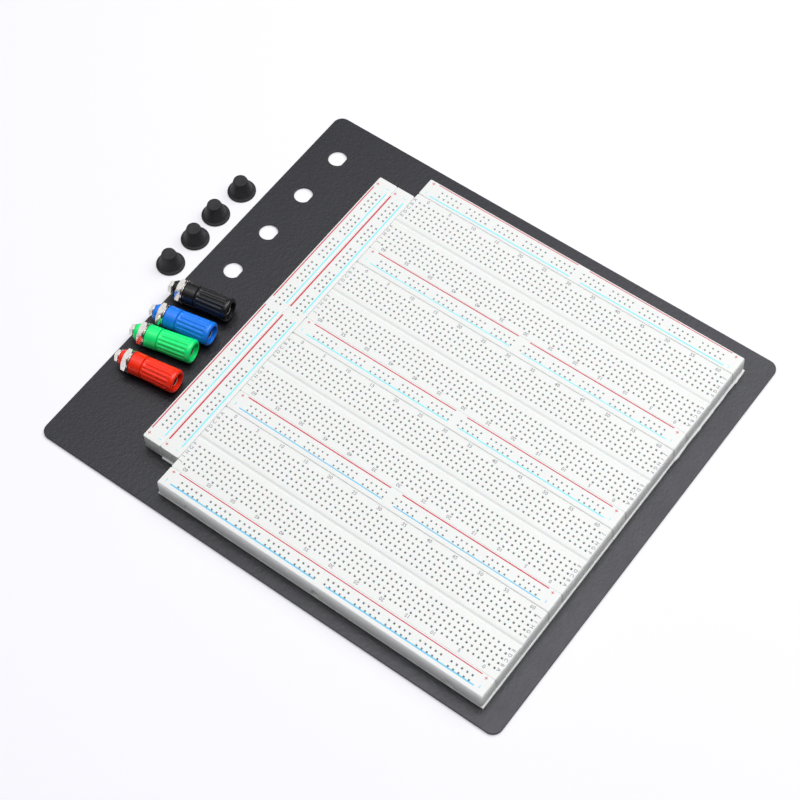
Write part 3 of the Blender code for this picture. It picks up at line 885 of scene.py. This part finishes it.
def leaf_pair():
    """Two spring leaves that pinch a wire between them, on the strip they are bent from."""
    shape = Shape()
    half = LEAF_WIDTH / 2
    line = [
        (CLIP_WIDTH / 2 - LEAF / 2, 0.0), (CLIP_WIDTH / 2 - LEAF / 2, 1.6 * MM),
        (PINCH + LEAF / 2, CLIP_HEIGHT - 1.6 * MM), (PINCH + LEAF / 2, CLIP_HEIGHT - 1.2 * MM),
        (CLIP_WIDTH / 2 - LEAF, CLIP_HEIGHT),
    ]
    for side in (-1, 1):
        loops = []
        for x, z in line:
            near, far = side * (x - LEAF / 2), side * (x + LEAF / 2)
            loops.append(shape.add([(near, -half, z), (far, -half, z), (far, half, z), (near, half, z)]))
        shape.stack(loops)
    return shape


def contact_strip(shape, pair, points, low, high):
    """Leaf pairs at the points given, on one flat strip from low to high in X and Y."""
    for x, y in points:
        shape.copy(pair, Matrix.Translation((x, y, 0.0)))
    shape.box((low[0], low[1], 0.0), (high[0], high[1], LEAF))


def terminal_clips():
    shape = Shape()
    pair = leaf_pair()
    half_x, half_y = CLIP_WIDTH / 2, CLIP_LENGTH / 2
    for side in (-1, 1):
        middle = side * BANK_OFFSET
        for x in column_places():
            points = [(x, y) for y in bank_rows(side)]
            low, high = (x - half_x, middle - half_y), (x + half_x, middle + half_y)
            contact_strip(shape, pair, points, low, high)
    return shape.mesh("terminal_clips")


def bus_rails():
    """Two rails, each in two halves, with their leaves along them."""
    shape = Shape()
    pair = Shape()
    pair.copy(leaf_pair(), Matrix.Rotation(math.pi / 2, 4, "Z"))
    used = [x for k, x in enumerate(column_places()) if in_group(k)]
    middle = len(used) // 2
    for y in (-PITCH / 2, PITCH / 2):
        for half in (used[:middle], used[middle:]):
            low = (half[0] - LEAF_WIDTH / 2, y - CLIP_WIDTH / 2)
            high = (half[-1] + LEAF_WIDTH / 2, y + CLIP_WIDTH / 2)
            contact_strip(shape, pair, [(x, y) for x in half], low, high)
    return shape.mesh("bus_rails")


# Print --------

def glyphs(text, height):
    """A word in ink, centred, as a thin solid."""
    data = bpy.data.curves.new("word", "FONT")
    data.body = text
    data.align_x = "CENTER"
    data.resolution_u = 3
    data.extrude = INK / 2
    data.offset = FIGURE_BOLD
    data.size = height / CAPITAL_HEIGHT
    mesh = evaluated(linked("word", data), "word")
    shape = Shape()
    shape.add([(v.co.x, v.co.y - height / 2, v.co.z) for v in mesh.vertices])
    shape.faces = [tuple(p.vertices) for p in mesh.polygons]
    return shape


def terminal_figures():
    """Column numbers along both sides and row letters at both ends. The print of the front half
    is that of the back half, turned half round."""
    print_z = STRIP_HEIGHT + INK / 2
    half = Shape()
    first = column_places()[0]
    for number in range(0, COLUMNS, FIGURE_STEP):
        x = first + (number + 1) * PITCH + (ZERO_SHIFT if number == 0 else 0.0)
        word = glyphs(str(number), FIGURE_HEIGHT)
        half.copy(word, Matrix.Translation((x, FIGURE_Y, print_z)))
    rows = bank_rows(-1) + bank_rows(1)
    for letter, y in zip("ABCDEFGHIJ", reversed(rows)):
        word = glyphs(letter, LETTER_HEIGHT)
        place = Matrix.Translation((-LETTER_X, y, print_z))
        half.copy(word, place @ Matrix.Rotation(math.pi / 2, 4, "Z"))
    whole = Shape()
    shift = Matrix.Translation(FIGURE_SHIFT)
    whole.copy(half, shift)
    whole.copy(half, shift @ Matrix.Rotation(math.pi, 4, "Z"))
    return whole.mesh("figures")


def line_print(y, width, spans, mark_y, mark):
    """A bus strip's printed line, with its mark at both ends."""
    shape = Shape()
    low_z, high_z = STRIP_HEIGHT - INK, STRIP_HEIGHT + INK
    for start, end in spans:
        outline = rounded_rectangle((start, y - width / 2), (end, y + width / 2), 0.2 * width, 2)
        shape.prism(outline, low_z, high_z)
    for x in MARK_X:
        shape.prism([(x + u, mark_y + v) for u, v in mark], low_z, high_z)
    return shape


def add_strips():
    housings = {
        "terminal": terminal_housing(),
        "side": bus_housing("side_housing", INNER_FRONT_EDGE, EDGE),
        "bus": bus_housing("inner_bus_housing", INNER_FRONT_EDGE, hole_scale=INNER_HOLE_SCALE),
    }
    front_housing = bus_housing("front_bus_housing", FRONT_EDGE)
    clips, rails = terminal_clips(), bus_rails()
    figures = terminal_figures()
    for node in sorted(frame["nodes"]):
        if "_strip_" not in node:
            continue
        housing_mesh = front_housing if node == "bus_strip_1" else housings[node.split("_")[0]]
        springs, depth = (rails, BUS_DEPTH) if "bus" in node else (clips, TERMINAL_DEPTH)
        contacts = node.replace("strip", "contacts")
        place = strip_place(node, depth)
        put(node + "_housing", housing_mesh, "white_plastic", "root", place, [node])
        lift = Matrix.Translation((0.0, 0.0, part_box(contacts)[0][2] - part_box(node)[0][2]))
        put(contacts + "_leaves", springs, "spring_metal", "root", place @ lift, [contacts])
        if "terminal" in node:
            put(node + "_figures", figures, "grey_ink", "root", place)
        else:
            add_bus_print(node, place)


def add_bus_print(node, place):
    plus_line, minus_line = [[value * MM for value in line] for line in BUS_LINES[node]]
    spans = SIDE_LINE_SPANS if node.startswith("side") else LINE_SPANS
    plus_spans = ((spans[0][0], spans[1][1]),) if node == UNBROKEN_PLUS_LINE else spans
    a, b = MARK_SIZE / 2, MARK_STROKE / 2
    bar = [(b, -a), (b, a), (-b, a), (-b, -a)]
    cross = [(b, -a), (b, -b), (a, -b), (a, b), (b, b), (b, a)]
    cross += [(-u, -v) for u, v in cross]
    plus = line_print(*plus_line, plus_spans, PLUS_Y, cross).mesh("plus_print")
    minus = line_print(*minus_line, spans, minus_line[0] + MINUS_RISE, bar).mesh("minus_print")
    put(node + "_plus_line", plus, "red_ink", "root", place)
    blue = "blue_ink" if node in BLUE_MINUS_LINES else "cyan_ink"
    put(node + "_minus_line", minus, "blue_ink", "root", place, material=blue)


def strip_place(node, depth):
    """A strip's place and turn. Its tabs reach past its back, so the place is measured from its
    front, which faces -Y, or +X on a side strip."""
    low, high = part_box(node)
    cad_half = (depth + SEAM - CAD_SEAM) / 2
    if node.startswith("side"):
        at = (high[0] - cad_half, (low[1] + high[1]) / 2 + SIDE_SHIFT, low[2])
        turn = Matrix.Rotation(math.pi / 2, 4, "Z")
        return Matrix.Translation(at) @ turn @ Matrix.Scale(SIDE_STRETCH, 4, (1.0, 0.0, 0.0))
    return Matrix.Translation(((low[0] + high[0]) / 2, low[1] + cad_half, low[2]))


# Foam --------

def add_pads():
    """The sheets of foam: the last one is torn, and reaches further past the strips' ends."""
    for node in sorted(frame["nodes"]):
        if "adhesive_pad" not in node:
            continue
        low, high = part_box(node)
        side = node.startswith("side")
        lip = 0.0 if side else TORN_LIP if node == "adhesive_pad_4" else FOAM_LIP
        front = FRONT_FOAM_LIP if node == "adhesive_pad_1" else 0.0
        shape = pad_shape(low, high, lip, front)
        pad = put(node + "_foam", shape.mesh(node), "foam", "root", stands_for=[node])


def torn(y, lip):
    """How far foam shows past the strips' right ends at a place along them."""
    ragged = 0.6 if lip == TORN_LIP else 0.2
    slow, fast = TORN_WAVES
    wave = noise.noise((3.0, y * slow, 0.0)) + 0.6 * noise.noise((0.0, y * fast, 0.0))
    return lip * (1.0 + ragged * wave)


def pad_shape(low, high, lip, front):
    """A sheet with its edges pressed in a little above and below."""
    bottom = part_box("base_plate")[1][2] + 0.01 * MM
    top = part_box("bus_strip_1")[0][2] - 0.01 * MM
    steps = 90
    ys = [low[1] - front + (high[1] - low[1] + front) * k / steps for k in range(steps + 1)]
    right = [(high[0] + torn(y, lip), y) for y in ys]
    shape = Shape()
    loops = []
    for share, pressed in ((0.0, 0.12), (0.15, 0.0), (0.9, 0.0), (1.0, 0.06)):
        z = bottom + (top - bottom) * share
        outline = [(low[0], ys[0] + pressed * MM)]
        outline += [(x - pressed * MM, max(y, ys[0] + pressed * MM)) for x, y in right]
        outline.append((low[0], ys[-1]))
        loops.append(shape.loop(outline, z))
    shape.stack(loops)
    return shape


# Plate --------

def add_plate():
    low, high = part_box("base_plate")
    outlines = [rounded_rectangle(low, high, PLATE_CORNER, 10)]
    for name, opening in OPENINGS.items():
        if not name.startswith("post_hole"):
            continue
        (x0, y0, _), (x1, y1, _) = opening["box_m"]
        turn = math.degrees(math.acos(POST_HOLE_FLAT / POST_HOLE_RADIUS))
        centre = ((x0 + x1) / 2, (y0 + y1) / 2)
        outlines.append(arc(centre, POST_HOLE_RADIUS, turn, 360 - turn, 40))
    thickness = high[2] - low[2]
    mesh = sheet("plate", outlines, thickness, PLATE_EDGE, bevel_resolution=2, offset=-PLATE_EDGE)
    place = Matrix.Translation((0.0, 0.0, low[2] + thickness / 2))
    put("plate", mesh, "powder_coat", "root", place, ["base_plate"])


# Binding posts: drawn along -X from the middle of the cap's front face --------

def post_place(colour):
    joint = JOINTS[colour + "_cap_turn"]
    yaw = math.atan2(joint["axis"][1], joint["axis"][0])
    return Matrix.Translation(Vector(joint["pos_m"])) @ Matrix.Rotation(yaw, 4, "Z")


def cap_reach(station, radius, angle):
    """The flutes: rounded channels between wide ribs, that run out at both ends."""
    if radius < CAP_REAR_RADIUS - 0.2 * MM:
        return radius
    ends = min(station - FLUTE_FRONT, FLUTE_REAR - station) / FLUTE_RUNOUT
    if ends <= 0.0:
        return radius
    runout = math.sqrt(1.0 - (1.0 - min(ends, 1.0)) ** 2)
    wave = 0.5 - 0.5 * math.cos(CAP_RIBS * angle)
    return radius - FLUTE_DEPTH * runout * wave ** FLUTE_POWER


def cap_mesh():
    rings = [(0.0, RECESS_RADIUS + 0.25 * MM)]
    front = CAP_FRONT_RADIUS - CAP_ROUND
    rings += [(CAP_ROUND - x, front + y) for x, y in arc((0.0, 0.0), CAP_ROUND, 0, 90, 6)]
    steps = 36
    for k in range(1, steps + 1):
        share = k / steps
        station = CAP_ROUND + (CAP_LENGTH - 0.3 * MM - CAP_ROUND) * share
        rings.append((station, CAP_FRONT_RADIUS + (CAP_REAR_RADIUS - CAP_FRONT_RADIUS) * share))
    rings += [
        (CAP_LENGTH, CAP_REAR_RADIUS - 0.25 * MM), (CAP_LENGTH, INSERT_RADIUS + 0.1 * MM),
        (INSERT_FRONT - 0.1 * MM, INSERT_RADIUS + 0.1 * MM),
        (INSERT_FRONT - 0.1 * MM, CAP_BORE), (RECESS_DEPTH, CAP_BORE),
        (RECESS_DEPTH, RECESS_RADIUS), (0.25 * MM, RECESS_RADIUS),
    ]
    return turned(rings, CAP_RIBS * 12, cap_reach).mesh("cap", 40.0)


def rim(one, other, radius, edge):
    """Rings from one station to another at a radius, with both corners cut off."""
    inward = math.copysign(edge, other - one)
    return [
        (one, radius - edge), (one + inward, radius), (other - inward, radius),
        (other, radius - edge),
    ]


def threaded(front, rear, radius, outward=True):
    """Rings of a screw thread, and the function that cuts its helix."""
    steps = max(2, round((rear - front) / THREAD_PITCH * 8))
    rings = [(front + (rear - front) * k / steps, radius) for k in range(steps + 1)]

    def reach(station, base, angle):
        if not front <= station <= rear or abs(base - radius) > 0.01 * MM:
            return base
        along = (station / THREAD_PITCH - angle / (2.0 * math.pi)) % 1.0
        tooth = abs(2.0 * along - 1.0)
        fade = min(1.0, (station - front) / THREAD_PITCH, (rear - station) / THREAD_PITCH)
        cut = THREAD_DEPTH * (1.0 - tooth) * max(fade, 0.0)
        return base - cut if outward else base + cut

    return rings, reach


def insert_mesh():
    rings, reach = threaded(INSERT_FRONT + 0.2 * MM, INSERT_REAR - 0.2 * MM, CAP_BORE - 0.2 * MM, False)

    def shaped(station, radius, angle):
        if radius > INSERT_RADIUS - 0.05 * MM:
            return radius - KNURL_DEPTH * (0.5 - 0.5 * math.cos(KNURLS * angle))
        return reach(station, radius, angle)

    bore = CAP_BORE + 0.1 * MM
    outside = rim(INSERT_REAR, INSERT_FRONT, INSERT_RADIUS, 0.2 * MM)
    rings += [(INSERT_REAR, bore), *outside, (INSERT_FRONT, bore)]
    return turned(rings, 144, shaped).mesh("cap_insert", 40.0)


def base_mesh():
    """The insulator: a plain ring in front, and a boss with a flat side behind."""
    rear_bore = ROD_RADIUS + 0.1 * MM
    front_bore = CORE_RADIUS + 0.1 * MM
    rings = [(CORE_REAR, rear_bore), (BOSS_REAR, rear_bore)]
    rings += arc((BOSS_REAR - BOSS_ROUND, BOSS_RADIUS - BOSS_ROUND), BOSS_ROUND, 0, 90, 6)
    rings.append((BASE_REAR, BOSS_RADIUS))
    rings += rim(BASE_REAR, BASE_FRONT, BASE_RADIUS, 0.2 * MM)
    rings += [(BASE_FRONT, front_bore), (CORE_REAR, front_bore)]

    def flat(station, radius, angle):
        if station <= BASE_REAR or radius < BOSS_FLAT:
            return radius
        down = -math.sin(angle)
        return min(radius, BOSS_FLAT / down) if down > 0.0 else radius

    return turned(rings, 96, flat).mesh("post_base", 40.0)


def stud_mesh():
    """The socket and thread in the cap, a neck with the wire hole, and a threaded rod behind."""
    front_rings, front_reach = threaded(STUD_FRONT + 0.5 * MM, STUD_THREAD_REAR, CORE_RADIUS)
    rear_rings, rear_reach = threaded(ROD_THREAD_FRONT, ROD_REAR - 0.3 * MM, ROD_RADIUS)

    def reach(station, radius, angle):
        radius = front_reach(station, radius, angle)
        return rear_reach(station, radius, angle)

    rings = [(STUD_FRONT, SOCKET_RADIUS + 0.25 * MM), (STUD_FRONT, CORE_RADIUS - 0.3 * MM)]
    rings += front_rings
    rings += [(CORE_REAR, CORE_RADIUS), (CORE_REAR, ROD_RADIUS)]
    rings += rear_rings
    rings += [
        (ROD_REAR, ROD_RADIUS - 0.3 * MM), (ROD_REAR, 0.0), (SOCKET_BOTTOM + 0.8 * MM, 0.0),
        (SOCKET_BOTTOM, SOCKET_RADIUS), (STUD_FRONT + 0.25 * MM, SOCKET_RADIUS),
    ]
    mesh = turned(rings, 48, reach).mesh("stud")
    reach = CORE_RADIUS * 1.5
    across = [(-reach, 0.0), (-reach, WIRE_HOLE_RADIUS), (reach, WIRE_HOLE_RADIUS), (reach, 0.0)]
    drill = turned(across, 32).mesh("drill")
    place = Matrix.Translation((-WIRE_HOLE_STATION, 0.0, 0.0))
    drill.transform(place @ Matrix.Rotation(math.pi / 2, 4, "Z"))
    return smoothed(cut(mesh, drill), 40.0)


def nut_mesh(name, flats, bore, front, rear):
    """A hexagon nut, one flat side down, with its corners turned off on both faces."""
    sides = 72
    edge = 0.25 * MM
    turned_to = flats / 2 * 0.97

    def corner(angle):
        sector = math.degrees(angle) % 60.0 - 30.0
        return flats / 2 / math.cos(math.radians(sector))

    shape = Shape()

    def loop(station, radius_at, push=0.0):
        points = []
        for k in range(sides):
            angle = 2.0 * math.pi * k / sides
            radius = radius_at(angle)
            fall = push * max(0.0, radius - turned_to)
            points.append((-station + fall, radius * math.cos(angle), radius * math.sin(angle)))
        return shape.add(points)

    slope = math.tan(math.radians(30))
    circles = ((edge, bore), (0.0, bore + edge), (0.0, turned_to))
    loops = [loop(front + inward, lambda a: radius) for inward, radius in circles]
    loops += [loop(front, corner, -slope), loop(rear, corner, slope)]
    loops += [loop(rear - inward, lambda a: radius) for inward, radius in reversed(circles)]
    shape.stack(loops + loops[:1], capped=False)
    return shape.mesh(name, 25.0)


def washer_mesh():
    bore = BOSS_RADIUS + 0.1 * MM
    outside = rim(WASHER_FRONT, WASHER_REAR, WASHER_RADIUS, 0.12 * MM)
    return turned([(WASHER_FRONT, bore), *outside, (WASHER_REAR, bore)], 72).mesh("washer")


def tag_mesh():
    """A solder tag: a ring on the rod with an eye on a short arm."""
    rod, eye = (0.0, 0.0), (TAG_REACH, 0.0)
    outer = arc(rod, TAG_RING[1], 25, 335, 28) + arc(eye, TAG_EYE[1], -90, 90, 10)
    outlines = (outer, arc(rod, TAG_RING[0], 0, 345, 23), arc(eye, TAG_EYE[0], 0, 330, 11))
    mesh = sheet("solder_tag", outlines, TAG_THICKNESS, 0.04 * MM)
    station = (BOSS_REAR + REAR_NUT[2]) / 2
    mesh.transform(Matrix.Translation((-station, 0.0, 0.0)) @ Matrix.Rotation(math.pi / 2, 4, "Y"))
    return mesh


def add_posts():
    meshes = {
        "cap": cap_mesh(),
        "cap_insert": insert_mesh(),
        "base": base_mesh(),
        "stud": stud_mesh(),
        "panel_nut": nut_mesh("panel_nut", *PANEL_NUT),
        "rear_nut": nut_mesh("rear_nut", *REAR_NUT),
        "washer": washer_mesh(),
        "solder_tag": tag_mesh(),
    }
    for colour in COLOURS:
        place = post_place(colour)
        plastic = colour + "_plastic"
        slots = {"cap": plastic, "base": plastic, "cap_insert": "brass"}
        bodies = {"cap": colour + "_cap", "cap_insert": colour + "_thread"}
        for part, mesh in meshes.items():
            node = f"{colour}_{part}"
            slot = slots.get(part, "nickel")
            body = bodies.get(part, colour + "_post")
            stands_for = [node] if node in frame["nodes"] else []
            put(node + "_detail", mesh, slot, body, place, stands_for)


# Feet --------

def foot_mesh():
    """A flared cup: a thin flange, a cone that curves in above it, and a dished top."""
    rings = [
        (0.0, 0.0), (0.0, FOOT_RADIUS - 0.25 * MM), (-0.2 * MM, FOOT_RADIUS),
        (-0.65 * MM, FOOT_RADIUS), (-0.8 * MM, FOOT_RADIUS - 0.12 * MM),
        (-1.0 * MM, FOOT_NECK + 0.45 * MM),
    ]
    tall = FOOT_HEIGHT - 1.55 * MM
    for k in range(9):
        share = k / 8
        radius = FOOT_NECK - (FOOT_NECK - FOOT_TOP) * share ** FOOT_CURVE
        rings.append((-1.2 * MM - tall * share, radius))
    rings += [
        (-FOOT_HEIGHT + 0.12 * MM, FOOT_TOP - 0.1 * MM), (-FOOT_HEIGHT, FOOT_TOP - 0.35 * MM),
        (-FOOT_HEIGHT + 0.03 * MM, FOOT_TOP - 0.7 * MM), (-FOOT_HEIGHT + 0.16 * MM, 1.1 * MM),
        (-FOOT_HEIGHT + 0.2 * MM, 0.0),
    ]
    mesh = turned(rings, 72).mesh("foot", 40.0)
    mesh.transform(Matrix.Rotation(-math.pi / 2, 4, "Y"))
    return mesh


def add_feet():
    mesh = foot_mesh()
    for k in range(1, 5):
        node = f"rubber_foot_{k}"
        low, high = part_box(node)
        place = Matrix.Translation(((low[0] + high[0]) / 2, (low[1] + high[1]) / 2, low[2]))
        put(node + "_moulding", mesh, "rubber", f"foot_{k}", place, [node])


# Scene --------

add_camera()
add_stage()
add_softbox()
add_plate()
add_pads()
add_strips()
add_posts()
add_feet()
